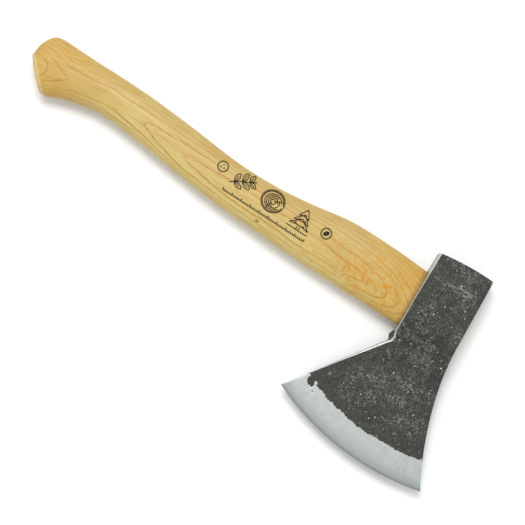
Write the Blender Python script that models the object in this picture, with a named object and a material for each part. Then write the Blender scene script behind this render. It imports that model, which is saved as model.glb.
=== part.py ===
"""Carving hatchet: a forged head on a curved ash handle, held by a wooden wedge and a steel ring.

The hatchet lies on one cheek of its head.  +X runs along the handle from the butt to the top of
the head, +Y comes out of the poll, so the cutting edge faces -Y, and +Z is up through the
thickness.  The origin is on the lower cheek, straight under the centre of the eye.
"""

import math

import bmesh
import bpy
from mathutils import Vector

# Head, in metres.  "Height" is along the handle, "thickness" is along Z.
HEAD_THICKNESS = 0.0250
HEAD_HEIGHT = 0.0435        # across the eye
POLL_HEIGHT = 0.0425        # the underside tapers up to it, the top stays straight
POLL_REACH = 0.0378         # eye centre to poll face
POLL_THICKNESS = 0.0226
POLL_BEVEL = 0.0012
NECK_REACH = 0.0330         # eye centre to where beard and flare start
CHEEK_END = 0.0090          # eye centre to where the cheeks stop being flat, towards the edge
CHEEK_START = 0.0240        # the same, towards the poll
BLADE_THICKNESS = 0.0044    # what the blade thins down towards behind its bevel
FALL_LENGTH = 0.0235        # over this the blade loses half of its extra thickness
FALL_POWER = 2.2
EDGE_THICKNESS = 0.0002
HEEL = Vector((-0.0727, -0.0973))
TOE = Vector((0.0490, -0.1158))
FLARE_PULL = Vector((0.0291, -0.0780))   # control point of the concave top edge
FLARE_LEAD = 0.0010         # how far the top edge has already flared out at the neck
FLARE_START = 0.0150        # eye centre to where the top edge begins to flare
EDGE_RADIUS = 0.1980
BEVEL_WIDTH = 0.0225        # ground bevel, measured square to the edge
RIM = 0.0006                # small chamfer around each cheek
DRAFT = 0.030               # forging draft of the side walls, per unit of thickness
LUG_REACH = 0.0296          # eye centre to the small lug at the inner corner of the beard
LUG_HALF_LENGTH = 0.0048
LUG_PROUD = 0.0022
LUG_NOTCH = 0.0018

# Eye: an oval hole along X, narrowest half way through.
EYE_LENGTH = 0.0416
EYE_WIDTH = 0.0168
EYE_FLARE_LENGTH_BELOW = 0.0016
EYE_FLARE_WIDTH_BELOW = 0.0014
EYE_FLARE_LENGTH_TOP = 0.0036
EYE_FLARE_WIDTH_TOP = 0.0032
OVAL_POWER = 2.3

# Handle.
HANDLE_REACH = 0.3374       # eye centre to the end of the butt
GRIP_THICKNESS = 0.0220
SWELL_THICKNESS = 0.0236
TONGUE_SUNK = 0.0003        # how far the end grain lies below the top of the head
BUTT_ROUND = 0.0016

# Wedges.
WEDGE_DEPTH = 0.0280
WEDGE_THICK_END = 0.0046
WEDGE_THIN_END = 0.0012
RING_DIAMETER = 0.0142
RING_WALL = 0.0016
RING_DEPTH = 0.0095
RING_TAPER = 0.0004

FIT = 0.0003                # clearance between touching pieces

COLUMNS = 24                # faces across the head from underside to top
BLADE_LEVELS = 12
BEVEL_LEVELS = 4
OVAL_POINTS = 32
HANDLE_SPANS = 4            # rings between two stations of the handle
BUTT_SPANS = 2              # the same around the butt
RING_POINTS = 32

MID = HEAD_THICKNESS / 2
UNDERSIDE = -HEAD_HEIGHT / 2
TOP = HEAD_HEIGHT / 2
OVERRUN = 0.006             # how far cutters run past the faces they cut

# Handle outline: share of the reach, back edge, belly edge, half thickness as a share of the
# way from the grip's to the swell's.  Both edges are Y values.
HANDLE_STATIONS = (
    (0.140, 0.0242, -0.0200, 0.6),
    (0.245, 0.0263, -0.0177, 1.0),
    (0.340, 0.0234, -0.0152, 0.8),
    (0.425, 0.0221, -0.0122, 0.4),
    (0.520, 0.0240, -0.0087, 0.1),
    (0.630, 0.0297, -0.0028, 0.0),
    (0.740, 0.0346, 0.0040, 0.0),
    (0.820, 0.0368, 0.0069, 0.0),
    (0.880, 0.0380, 0.0044, 0.2),
)
# The butt fans round to a slanted cut: back edge (share of the reach, Y), belly edge the same.
BUTT_STATIONS = (
    ((0.9240, 0.0393), (0.9065, 0.0021)),
    ((0.9560, 0.0400), (0.9220, 0.0003)),
    ((0.9735, 0.0384), (0.9300, -0.0006)),
    ((0.9862, 0.0332), (0.9345, -0.0009)),
    ((0.9930, 0.0280), (0.9375, -0.0009)),
    ((0.9957, 0.0224), (0.9393, -0.0006)),
)
BUTT_THICKNESS_SHARE = 0.4


def clear_scene():
    for item in list(bpy.data.objects):
        bpy.data.objects.remove(item, do_unlink=True)


def make_material(name, color, roughness, metallic):
    material = bpy.data.materials.new(name)
    material.use_nodes = True
    shader = material.node_tree.nodes["Principled BSDF"]
    shader.inputs["Base Color"].default_value = (*color, 1.0)
    shader.inputs["Roughness"].default_value = roughness
    shader.inputs["Metallic"].default_value = metallic
    material.diffuse_color = (*color, 1.0)
    return material


def add_object(name, bm, material=None):
    """Turn a bmesh into an object with its faces pointing out; with no material it is a cutter."""
    bmesh.ops.recalc_face_normals(bm, faces=bm.faces)
    mesh = bpy.data.meshes.new(name)
    bm.to_mesh(mesh)
    bm.free()
    item = bpy.data.objects.new(name, mesh)
    bpy.context.scene.collection.objects.link(item)
    if material is None:
        item.hide_render = True
        item.display_type = "WIRE"
    else:
        mesh.materials.append(material)
        mesh.shade_smooth()
        mesh.set_sharp_from_angle(angle=math.radians(25))
    return item


def add_boolean(item, cutter, operation="DIFFERENCE"):
    modifier = item.modifiers.new(cutter.name, "BOOLEAN")
    modifier.operation = operation
    modifier.solver = "EXACT"
    modifier.object = cutter


def bridge(bm, rings):
    """Join each ring of vertices to the next with quads."""
    for lower, upper in zip(rings, rings[1:]):
        for index, corner in enumerate(lower):
            following = (index + 1) % len(lower)
            bm.faces.new((corner, lower[following], upper[following], upper[index]))


def loft(rings):
    """Closed body through rings of points, with a flat cap on each end."""
    bm = bmesh.new()
    loops = [[bm.verts.new(point) for point in ring] for ring in rings]
    bridge(bm, loops)
    bm.faces.new(loops[0])
    bm.faces.new(loops[-1])
    return bm


def mix(low, high, share):
    return low + (high - low) * share


def ease(share):
    """Smooth step from 0 to 1."""
    share = min(max(share, 0.0), 1.0)
    return share * share * (3 - 2 * share)


# ---------------------------------------------------------------------------------------- head

def blade_thickness(reach):
    """Thickness of the forged head at a distance from the eye centre towards the edge."""
    if reach < -CHEEK_START:
        share = (-reach - CHEEK_START) / (POLL_REACH - CHEEK_START)
        return mix(HEAD_THICKNESS, POLL_THICKNESS, share)
    if reach < CHEEK_END:
        return HEAD_THICKNESS
    fall = 1 / (1 + ((reach - CHEEK_END) / FALL_LENGTH) ** FALL_POWER)
    return mix(BLADE_THICKNESS, HEAD_THICKNESS, fall)


def flare_point(share):
    """Point on the concave top edge between the neck and the toe."""
    start = Vector((TOP + FLARE_LEAD, -NECK_REACH))
    return start * (1 - share) ** 2 + FLARE_PULL * 2 * share * (1 - share) + TOE * share ** 2


def beard_point(share):
    """Point on the straight beard between the neck and the heel."""
    return Vector((UNDERSIDE, -NECK_REACH)).lerp(HEEL, share)


def edge_drop(across):
    """How far the arc of the cutting edge lies beyond its chord, 0 at the heel to 1 at the toe."""
    half_chord = (TOE - HEEL).length / 2
    offset = (across * 2 - 1) * half_chord
    return math.sqrt(EDGE_RADIUS ** 2 - offset ** 2) - math.sqrt(EDGE_RADIUS ** 2 - half_chord ** 2)


def lug_share(reach):
    return max(0.0, 1 - abs(reach - LUG_REACH) / LUG_HALF_LENGTH)


def head_level(low_end, high_end, bulge, thickness, lug=0.0, inset=0.0):
    """One closed ring of the head, from the underside wall across the cheek and back below."""
    along = (high_end - low_end).normalized()
    across = Vector((along.y, -along.x))
    half = thickness / 2
    rim = min(RIM, half * 0.5)
    draft = DRAFT * half
    low_face = low_end + along * (rim + draft + lug * LUG_NOTCH + inset)
    high_face = high_end - along * (rim + draft + inset)
    low_nose = low_end - along * (lug * LUG_PROUD - inset)
    high_nose = high_end - along * inset
    face = [low_face.lerp(high_face, column / COLUMNS) + across * bulge * edge_drop(column / COLUMNS)
            for column in range(COLUMNS + 1)]
    half -= inset
    upper = [(*spot, MID + half) for spot in face]
    lower = [(*spot, MID - half) for spot in face]
    low_rim = low_face - along * rim
    high_rim = high_face + along * rim
    high_side = [(*high_rim, MID + half - rim), (*high_nose, MID), (*high_rim, MID - half + rim)]
    low_side = [(*low_rim, MID - half + rim), (*low_nose, MID), (*low_rim, MID + half - rim)]
    return upper + high_side + lower[::-1] + low_side


def block_level(reach, inset=0.0):
    """Ring of the eye block, square across the handle."""
    share = max(0.0, -reach / POLL_REACH)
    low = TOP - mix(HEAD_HEIGHT, POLL_HEIGHT, share)
    thickness = blade_thickness(reach)
    lead = FLARE_LEAD * ease((reach - FLARE_START) / (NECK_REACH - FLARE_START))
    low_end = Vector((low, -reach))
    high_end = Vector((TOP + lead, -reach))
    return head_level(low_end, high_end, 0.0, thickness, lug_share(reach), inset)


def head_rings():
    block = [block_level(-POLL_REACH, POLL_BEVEL), block_level(-POLL_REACH + POLL_BEVEL)]
    stops = [-CHEEK_START, CHEEK_END, 0.013, 0.017, 0.021, LUG_REACH - LUG_HALF_LENGTH, LUG_REACH]
    block += [block_level(reach) for reach in stops]
    middle = (beard_point(1.0) + flare_point(1.0)) / 2
    edge_reach = -middle.y + edge_drop(0.5)
    grind = 1 - BEVEL_WIDTH / (edge_reach - NECK_REACH)
    behind_bevel = [grind * level / BLADE_LEVELS for level in range(BLADE_LEVELS)]
    bevel = [mix(grind, 1.0, level / BEVEL_LEVELS) for level in range(BEVEL_LEVELS + 1)]
    grind_thickness = blade_thickness(mix(NECK_REACH, edge_reach, grind))
    blade = []
    for share in behind_bevel + bevel:
        thickness = blade_thickness(mix(NECK_REACH, edge_reach, share))
        if share >= grind:
            thickness = mix(grind_thickness, EDGE_THICKNESS, (share - grind) / (1 - grind))
        blade.append(head_level(beard_point(share), flare_point(share), share, thickness))
    return block + blade


def eye_halves(x):
    """Half length and half width of the eye at a height in the head."""
    if x < 0:
        share = ease(x / UNDERSIDE)
        length = EYE_LENGTH + EYE_FLARE_LENGTH_BELOW * share
        width = EYE_WIDTH + EYE_FLARE_WIDTH_BELOW * share
    else:
        share = ease(x / TOP)
        length = EYE_LENGTH + EYE_FLARE_LENGTH_TOP * share
        width = EYE_WIDTH + EYE_FLARE_WIDTH_TOP * share
    return length / 2, width / 2


def oval(center, side, half_length, half_width):
    """Ring of points: an oval whose long axis lies along the unit vector side, in the XY plane."""
    points = []
    for index in range(OVAL_POINTS):
        angle = math.tau * index / OVAL_POINTS
        cosine = math.cos(angle)
        sine = math.sin(angle)
        reach = math.copysign(abs(cosine) ** (2 / OVAL_POWER), cosine) * half_length
        rise = math.copysign(abs(sine) ** (2 / OVAL_POWER), sine) * half_width
        spot = center + side * reach
        points.append((spot.x, spot.y, MID + rise))
    return points


def eye_rings(start, end, clearance, steps=12):
    """Rings of the eye's shape between two heights, smaller by the clearance."""
    rings = []
    for step in range(steps + 1):
        x = mix(start, end, step / steps)
        half_length, half_width = eye_halves(x)
        center = Vector((x, 0.0))
        rings.append(oval(center, Vector((0, 1)), half_length - clearance, half_width - clearance))
    return rings


def build_head(material):
    bm = bmesh.new()
    rings = [[bm.verts.new(point) for point in ring] for ring in head_rings()]
    bridge(bm, rings)
    bm.faces.new(rings[0])
    edge = rings[-1]
    upper = edge[:COLUMNS + 1]
    high_side = edge[COLUMNS + 1:COLUMNS + 4]
    lower = edge[COLUMNS + 4:2 * COLUMNS + 5][::-1]
    low_side = edge[2 * COLUMNS + 5:]
    for column in range(COLUMNS):
        bm.faces.new((upper[column], upper[column + 1], lower[column + 1], lower[column]))
    bm.faces.new((upper[-1], *high_side, lower[-1]))
    bm.faces.new((lower[0], *low_side, upper[0]))
    head = add_object("axe_head", bm, material)
    eye = add_object("eye_cutter", loft(eye_rings(UNDERSIDE - OVERRUN, TOP + OVERRUN, 0.0, 20)))
    add_boolean(head, eye)


# ------------------------------------------------------------------------------- wedge and ring

def wedge_slab(clearance):
    """Tapered slab across the eye, thick at the top of the head, thin end inside the tongue."""
    top = TOP - TONGUE_SUNK
    tip = top - WEDGE_DEPTH
    slope = (WEDGE_THICK_END - WEDGE_THIN_END) / 2 / WEDGE_DEPTH
    low_x = tip - clearance
    high_x = top + OVERRUN
    low_half = WEDGE_THIN_END / 2 + clearance
    high_half = WEDGE_THICK_END / 2 + slope * OVERRUN + clearance
    half_span = (EYE_LENGTH + EYE_FLARE_LENGTH_TOP) / 2 + OVERRUN
    bm = bmesh.new()
    ends = []
    for y in (-half_span, half_span):
        ends.append([bm.verts.new(point) for point in (
            (low_x, y, MID - low_half),
            (high_x, y, MID - high_half),
            (high_x, y, MID + high_half),
            (low_x, y, MID + low_half),
        )])
    bridge(bm, ends)
    bm.faces.new(ends[0])
    bm.faces.new(ends[1])
    return bm


def turned_ring(profile):
    """Body of revolution about the X axis of the eye, from (x, radius) points of a closed profile."""
    bm = bmesh.new()
    loops = []
    for index in range(RING_POINTS):
        angle = math.tau * index / RING_POINTS
        loops.append([
            bm.verts.new((x, radius * math.cos(angle), MID + radius * math.sin(angle)))
            for x, radius in profile
        ])
    bridge(bm, loops + [loops[0]])
    return bm


def ring_profile(clearance, end):
    """Section of the ring wedge: slightly tapered outside, sharp leading edge inside."""
    top = TOP - TONGUE_SUNK
    tip = top - RING_DEPTH - clearance
    outer = RING_DIAMETER / 2 + clearance
    lip = RING_DIAMETER / 2 - RING_TAPER - RING_WALL / 2 - clearance
    inner = RING_DIAMETER / 2 - RING_WALL - clearance
    return (
        (end, outer),
        (tip, outer - RING_TAPER),
        (tip, lip),
        (tip + RING_WALL, inner),
        (end, inner),
    )


# -------------------------------------------------------------------------------------- handle

def curve_through(before, start, end, after, share):
    """Point on the Catmull-Rom curve between start and end."""
    square = share * share
    cube = square * share
    return (start * 2 + (end - before) * share
            + (before * 2 - start * 5 + end * 4 - after) * square
            + (start * 3 - before - end * 3 + after) * cube) / 2


def handle_stations():
    """Vectors of back X, back Y, belly X, belly Y from the head to the butt, with half thickness."""
    stations = []
    half_length, half_width = eye_halves(UNDERSIDE)
    for x in (UNDERSIDE, UNDERSIDE - 2 * FIT - RIM):
        stations.append((Vector((x, half_length - FIT, 0.0)), Vector((x, -half_length + FIT, 0.0)),
                         half_width - FIT))
    for share, back, belly, swell in HANDLE_STATIONS:
        x = -share * HANDLE_REACH
        thickness = mix(GRIP_THICKNESS, SWELL_THICKNESS, swell)
        stations.append((Vector((x, back, 0.0)), Vector((x, belly, 0.0)), thickness / 2))
    thickness = mix(GRIP_THICKNESS, SWELL_THICKNESS, BUTT_THICKNESS_SHARE)
    for (back_share, back), (belly_share, belly) in BUTT_STATIONS:
        stations.append((Vector((-back_share * HANDLE_REACH, back, 0.0)),
                         Vector((-belly_share * HANDLE_REACH, belly, 0.0)), thickness / 2))
    return stations


def section(back, belly, half_width, inset=0.0):
    """Oval across the handle between its back and belly points."""
    center = (back + belly) / 2
    half_length = (back - belly).length / 2
    side = (back - belly).normalized()
    return oval(center, side, half_length - inset, half_width - inset)


def handle_rings():
    stations = handle_stations()
    rings = []
    last = len(stations) - 1
    for index in range(1, last):
        spans = HANDLE_SPANS if index < len(HANDLE_STATIONS) + 2 else BUTT_SPANS
        neighbours = [stations[max(index - 1, 0)], stations[index], stations[index + 1],
                      stations[min(index + 2, last)]]
        for step in range(spans):
            share = step / spans
            back = curve_through(*[item[0] for item in neighbours], share)
            belly = curve_through(*[item[1] for item in neighbours], share)
            half_width = curve_through(*[item[2] for item in neighbours], share)
            rings.append(section(back, belly, half_width))
    back, belly, half_width = stations[last]
    side = (back - belly).normalized()
    outward = Vector((-side.y, side.x, 0.0))
    for degrees in (0, 30, 60, 90):
        angle = math.radians(degrees)
        shift = outward * BUTT_ROUND * math.sin(angle)
        inset = BUTT_ROUND * (1 - math.cos(angle))
        rings.append(section(back + shift, belly + shift, half_width, inset))
    return rings


def build_handle(material):
    tongue = eye_rings(TOP - TONGUE_SUNK, UNDERSIDE, FIT)
    handle = add_object("handle", loft(tongue + handle_rings()), material)
    kerf = add_object("kerf_cutter", wedge_slab(FIT))
    add_boolean(handle, kerf)
    groove = add_object("ring_groove_cutter", turned_ring(ring_profile(FIT, TOP + OVERRUN)))
    add_boolean(handle, groove)
    return groove


def build_wedges(wood, steel, groove):
    wedge = add_object("wooden_wedge", wedge_slab(0.0), wood)
    bounds = eye_rings(TOP - WEDGE_DEPTH - OVERRUN, TOP - TONGUE_SUNK, FIT)
    eye_shape = add_object("wedge_trim", loft(bounds))
    add_boolean(wedge, eye_shape, "INTERSECT")
    add_boolean(wedge, groove)
    add_object("ring_wedge", turned_ring(ring_profile(0.0, TOP - TONGUE_SUNK)), steel)


def main():
    clear_scene()
    forged = make_material("forged_steel", (0.075, 0.080, 0.076), 0.62, 0.7)
    ash = make_material("ash_wood", (0.70, 0.53, 0.24), 0.48, 0.0)
    wedge_wood = make_material("wedge_wood", (0.44, 0.28, 0.13), 0.60, 0.0)
    bright = make_material("bright_steel", (0.50, 0.51, 0.50), 0.35, 1.0)
    build_head(forged)
    groove = build_handle(ash)
    build_wedges(wedge_wood, bright, groove)


main()
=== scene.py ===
"""Looks of the carving hatchet: forged head, figured ash handle, wedges, stamped print and studio.

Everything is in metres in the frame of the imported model: the hatchet lies on one cheek of its
head, +X runs from the butt to the top of the head, +Y comes out of the poll and +Z is up.
"""

from math import ceil, copysign, cos, exp, hypot, pi, radians, sin, sqrt, tau

import bmesh
import bpy
import numpy as np
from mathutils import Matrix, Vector, kdtree, noise
from mathutils.bvhtree import BVHTree


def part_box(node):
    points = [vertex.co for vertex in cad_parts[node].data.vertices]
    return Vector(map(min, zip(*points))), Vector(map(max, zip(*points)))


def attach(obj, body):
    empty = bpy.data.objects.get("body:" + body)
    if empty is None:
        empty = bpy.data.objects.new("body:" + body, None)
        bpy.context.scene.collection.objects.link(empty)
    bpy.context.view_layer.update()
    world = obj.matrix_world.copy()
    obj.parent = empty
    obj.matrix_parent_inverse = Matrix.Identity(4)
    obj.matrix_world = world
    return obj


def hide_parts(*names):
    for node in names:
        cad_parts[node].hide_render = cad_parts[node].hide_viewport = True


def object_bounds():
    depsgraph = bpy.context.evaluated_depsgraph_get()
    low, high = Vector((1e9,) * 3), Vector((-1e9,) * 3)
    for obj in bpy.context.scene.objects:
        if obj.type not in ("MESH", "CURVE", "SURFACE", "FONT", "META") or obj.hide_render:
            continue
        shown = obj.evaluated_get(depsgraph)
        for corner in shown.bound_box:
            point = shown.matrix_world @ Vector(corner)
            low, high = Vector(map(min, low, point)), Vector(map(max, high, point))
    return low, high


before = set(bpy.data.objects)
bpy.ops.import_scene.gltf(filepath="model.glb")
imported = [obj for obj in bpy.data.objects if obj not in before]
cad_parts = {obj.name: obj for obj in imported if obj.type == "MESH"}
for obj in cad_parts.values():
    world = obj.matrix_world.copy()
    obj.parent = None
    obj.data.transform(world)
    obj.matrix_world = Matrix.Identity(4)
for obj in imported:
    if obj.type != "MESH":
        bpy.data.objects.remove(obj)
cad_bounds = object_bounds()
head_low, head_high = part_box("axe_head")
handle_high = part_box("handle")[1]
ring_low, ring_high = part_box("ring_wedge")

MM = 0.001

# Head.  "Height" is along the handle, "thickness" is along Z.
HEAD_THICKNESS = head_high.z - head_low.z
MID = (head_high.z + head_low.z) / 2
POLL_REACH = head_high.y
TONGUE_SUNK = 0.0003  # how far the end grain lies below the top of the head
TOP = handle_high.x + TONGUE_SUNK
UNDERSIDE = -TOP
POLL_HEIGHT = 0.0425
POLL_THICKNESS = 0.0226
POLL_CORNER = 0.0014  # radius of the poll's corners seen from above
POLL_ROUND = 0.0008  # radius of its long edges
POLL_CROWN = 0.00025
POLL_BURR = 0.0005  # how far the corner at the top is hammered over
POLL_BURR_DEPTH = 0.0060
POLL_CHAMFER = 0.0013  # how much wider the chamfer is there
POLL_BOW = 0.0009  # how far the poll's corners lie behind its middle
POLL_BOW_DEPTH = 0.0080
NECK_REACH = 0.0330
CHEEK_END = 0.0090
CHEEK_START = 0.0240
BLADE_THICKNESS = 0.0044
FALL_LENGTH = 0.0235
FALL_POWER = 2.2
EDGE_THICKNESS = 0.0002
HEEL = Vector((head_low.x, -0.0973))
TOE = Vector((head_high.x, -0.1158))
FLARE_PULL = Vector((0.0291, -0.0780))
FLARE_LEAD = 0.0010
FLARE_START = 0.0150
EDGE_RADIUS = 0.1980
BEVEL_WIDTH = 0.0225
BEVEL_CROWN = 0.00012  # how much the ground bevel is rounded
RIM_HEIGHT = 0.0006
UNDER_RIM = 0.0007  # ground chamfer along the underside
BEARD_RIM = 0.0028  # the same at the start of the beard, before it thins out
TOP_RIM = 0.0005  # the same along the top and the flare
UNDER_DRAFT = 0.0003  # how far the underside wall leans in, level with the eye
POLL_DRAFT = 0.0010  # the same at the poll
TOP_DRAFT = 0.0002
LUG_REACH = 0.0296
LUG_HALF_LENGTH = 0.0048
LUG_PROUD = 0.0022
LUG_NOTCH = 0.0018

# Unevenness of the forged cheeks, always inwards: (feature size, depth).
FORGE_WAVES = ((0.0140, 0.00016), (0.0045, 0.00007), (0.0016, 0.00004))
# Hollows that the grinding didn't reach, and bumps that it reached early: (x, y, radius, depth).
FORGE_PITS = (
    (-0.0560, -0.0856, 0.0030, 0.00052),
    (-0.0536, -0.0876, 0.0013, 0.00045),
    (-0.0514, -0.0909, 0.0009, 0.00080),
    (-0.0519, -0.0846, 0.0012, -0.00030),
    (0.0191, -0.0978, 0.0008, 0.00035),
    (0.0315, -0.0958, 0.0009, 0.00035),
)
# Paler areas of the cheeks, with more pale strands in the scale: (x, y, half length, half width,
# strength).
HAZES = (
    (0.0045, -0.0343, 0.0090, 0.0050, 0.9),
    (0.0171, -0.0080, 0.0030, 0.0080, 0.9),
    (0.0050, 0.0200, 0.0100, 0.0030, 0.5),
    (-0.0180, -0.0600, 0.0200, 0.0150, 0.35),
    (0.0120, -0.0700, 0.0140, 0.0160, 0.30),
)
# Where fine scratches cross the scale, in the same terms without a strength.
SCRATCHED = (0.0055, 0.0200, 0.0080, 0.0017)

# Colours of the head; each ramp is a row of (position, colour).
SCALE_TONES = ((0.38, (0.008, 0.009, 0.007)), (0.48, (0.028, 0.029, 0.023)),
               (0.55, (0.044, 0.046, 0.038)), (0.64, (0.130, 0.134, 0.115)))
SCALE_STRAND = (0.42, 0.43, 0.39)
SCALE_SCRATCH = (0.46, 0.47, 0.44)
BRIGHT_FLECK = (0.48, 0.49, 0.46)
DULL_FLECK = (0.34, 0.35, 0.32)
CALM_SCALE = (0.046, 0.047, 0.041)
FLECK_RAGGED = 0.0022
# Painted reflection on the ground bevel: paler away from the edge, darker towards it.
STEEL_AND_PAINTED_REFLECTION_TONES = ((0.0, (0.36, 0.39, 0.37)), (0.10, (0.49, 0.53, 0.505)),
               (0.6, (0.635, 0.680, 0.650)), (1.0, (0.690, 0.730, 0.700)))
WALL_TONES = ((0.30, (0.26, 0.28, 0.27)), (0.70, (0.56, 0.60, 0.57)))
BRIGHT_CHAMFER = (0.62, 0.66, 0.63)

# Eye.
EYE_LENGTH = 0.0416
EYE_WIDTH = 0.0168
EYE_FLARE_BELOW = (0.0016, 0.0014)  # how much longer and wider the eye is at the underside
EYE_FLARE_TOP = (0.0036, 0.0032)  # the same at the top
OVAL_POWER = 2.3
FIT = 0.0003
OVERRUN = 0.006

# Handle.
HANDLE_REACH = 0.3374
GRIP_THICKNESS = 0.0220
SWELL_THICKNESS = 0.0236
BUTT_ROUND = 0.0016
HANDLE_STATIONS = (
    (0.140, 0.0242, -0.0200, 0.6),
    (0.245, 0.0263, -0.0177, 1.0),
    (0.340, 0.0234, -0.0152, 0.8),
    (0.425, 0.0221, -0.0122, 0.4),
    (0.520, 0.0240, -0.0087, 0.1),
    (0.630, 0.0297, -0.0028, 0.0),
    (0.740, 0.0346, 0.0040, 0.0),
    (0.820, 0.0368, 0.0069, 0.0),
    (0.880, 0.0380, 0.0044, 0.2),
)
BUTT_STATIONS = (
    ((0.9240, 0.0393), (0.9065, 0.0021)),
    ((0.9560, 0.0400), (0.9220, 0.0003)),
    ((0.9735, 0.0384), (0.9300, -0.0006)),
    ((0.9862, 0.0332), (0.9345, -0.0009)),
    ((0.9930, 0.0280), (0.9375, -0.0009)),
    ((0.9957, 0.0224), (0.9393, -0.0006)),
)
BUTT_THICKNESS_SHARE = 0.4
DRAWN_IN = 0.00004  # keeps the finer curves of the handle inside the coarser CAD model

# Growth rings of the handle: where the figure's axis runs, and how many rings are cut away there.
FIGURE_AXIS = (
    (-0.338, 0.0135), (-0.3095, 0.0148), (-0.275, 0.0190), (-0.243, 0.0148), (-0.208, 0.0070),
    (-0.150, 0.0020), (-0.100, -0.0035), (-0.049, -0.0078), (-0.031, -0.0108), (0.023, -0.0100),
)
FIGURE_CROWN = (
    (-0.338, 4.3), (-0.329, 3.2), (-0.3215, 2.3), (-0.3168, 1.8), (-0.3095, 1.3), (-0.295, 1.02),
    (-0.275, 0.96), (-0.258, 1.04), (-0.242, 1.3), (-0.225, 1.8), (-0.208, 2.3), (-0.170, 2.75),
    (-0.100, 2.7), (-0.065, 2.4), (-0.049, 2.0), (-0.036, 1.5), (-0.030, 1.0), (-0.020, 0.2),
    (0.023, -1.5),
)
FIGURE_WIDTH = 0.0080
FIGURE_DROP = 1.8  # rings lost one width away from the axis, before the square root
RING_SPACING = 0.0030

# Patches of the handle: (x, y, half length, half width).
KNOT_PATCH = (-0.1427, -0.0057, 0.0013, 0.0007)
FLAME_PATCH = (-0.054, -0.003, 0.042, 0.018)

# Colours of the handle.
ASH_TONES = ((0.3, (0.478, 0.335, 0.090)), (0.5, (0.520, 0.385, 0.117)),
             (0.7, (0.548, 0.424, 0.150)))
# Painted light for the belly side of the handle, and painted shade for its back side; the second
# colour is also the wood's own darker tone near the butt.
PAINTED_LIGHT_ASH = (0.620, 0.510, 0.180)
BUTT_TONE_AND_PAINTED_SHADE_ASH = (0.360, 0.260, 0.075)
WARM_ASH = (0.540, 0.308, 0.036)
LATE_WOOD = (0.470, 0.252, 0.040)
RING_LINE = (0.375, 0.145, 0.014)
DARK_STREAK = (0.420, 0.222, 0.038)
PALE_STREAK = (0.600, 0.480, 0.190)
DARK_FIBRE = (0.400, 0.245, 0.060)
PALE_FIBRE = (0.640, 0.510, 0.220)
PORE = (0.300, 0.175, 0.050)
FLAME = (0.530, 0.238, 0.008)
# Colour of the knot's stain, also used for the painted shade where the handle enters the head.
KNOT_STAIN_AND_PAINTED_SHADE = (0.130, 0.045, 0.008)
# Colour of the painted highlight along the rounded rim of the butt's cut.
PAINTED_HIGHLIGHT_WOOD = (0.760, 0.640, 0.400)

# Print on the handle: plain woodland figures, two seals and a ruled line.
INK_PROUD = 0.00003
INK_ROOT = 0.00010
INK_PEN = 0.00072
INK_FINE = 0.00055
INK_BOLD = 0.00100
INK_RULE = 0.00085
INK_CIRCLE_STEPS = 40
INK_TONES = ((0.35, (0.006, 0.006, 0.005)), (0.75, (0.045, 0.036, 0.020)))
PRINT_SLOPE = -4.0
SPRIG_CENTER = Vector((-0.1634, 0.0137))
LOG_CENTER = Vector((-0.1395, 0.0116))
FIR_CENTER = Vector((-0.1152, 0.0102))
LEFT_SEAL = Vector((-0.1815, 0.0161))
RIGHT_SEAL = Vector((-0.0963, 0.0099))
SEAL_RADIUS = 0.0039
INK_STEP = 0.0008  # longest straight run of a stroke
SEAL_STEP = 0.0005
RULE_START = Vector((-0.1741, 0.0018))
RULE_END = Vector((-0.1079, -0.0030))
RULE_TICKS = 46
RULE_HEIGHT = 0.0020

# Wedges.
WEDGE_DEPTH = 0.0280
WEDGE_THICK_END = 0.0046
WEDGE_THIN_END = 0.0012
RING_DIAMETER = ring_high.y - ring_low.y
RING_WALL = 0.0016
RING_DEPTH = ring_high.x - ring_low.x
RING_TAPER = 0.0004
RING_EDGE = 0.0003
WEDGE_TONES = ((0.3, (0.17, 0.095, 0.04)), (0.55, (0.36, 0.22, 0.10)), (0.8, (0.50, 0.33, 0.16)))
RING_TONES = ((0.35, (0.28, 0.28, 0.27)), (0.65, (0.56, 0.57, 0.56)))

# Mesh density.
COLUMNS = 128
BLOCK_STEP = 0.0006
BLADE_LEVELS = 130
OVAL_POINTS = 96
HANDLE_SPANS = 30
BUTT_SPANS = 5
CAP_RINGS = 14
TURNED_POINTS = 96

CAMERA_CENTER = Vector((-0.1253, -0.0290))
CAMERA_HEIGHT = 1.10
CAMERA_TURN = 29.0
CAMERA_LENS = 107.76
KEY_TOWARDS = Vector((-0.485, 0.875, 0.0))
KEY_SLANT = 25.0  # degrees from overhead
KEY_DISTANCE = 1.6
KEY_SIZE = 0.75
KEY_POWER = 15.9
SKY_STRENGTH = 0.73
FLOOR_SIZE = 4.0
FLOOR_DROP = 0.0001  # how far the floor lies below the head
FLOOR_TONES = ((0.3, (0.925, 0.930, 0.935)), (0.7, (0.945, 0.950, 0.955)))


# ---- studio

def add_to_scene(name, data):
    item = bpy.data.objects.new(name, data)
    bpy.context.scene.collection.objects.link(item)
    return item


def build_camera():
    data = bpy.data.cameras.new("camera")
    data.lens = CAMERA_LENS
    data.sensor_width = 36.0
    camera = add_to_scene("camera", data)
    camera.location = (*CAMERA_CENTER, MID + CAMERA_HEIGHT)
    camera.rotation_euler = (0.0, 0.0, radians(CAMERA_TURN))
    bpy.context.scene.camera = camera


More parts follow.
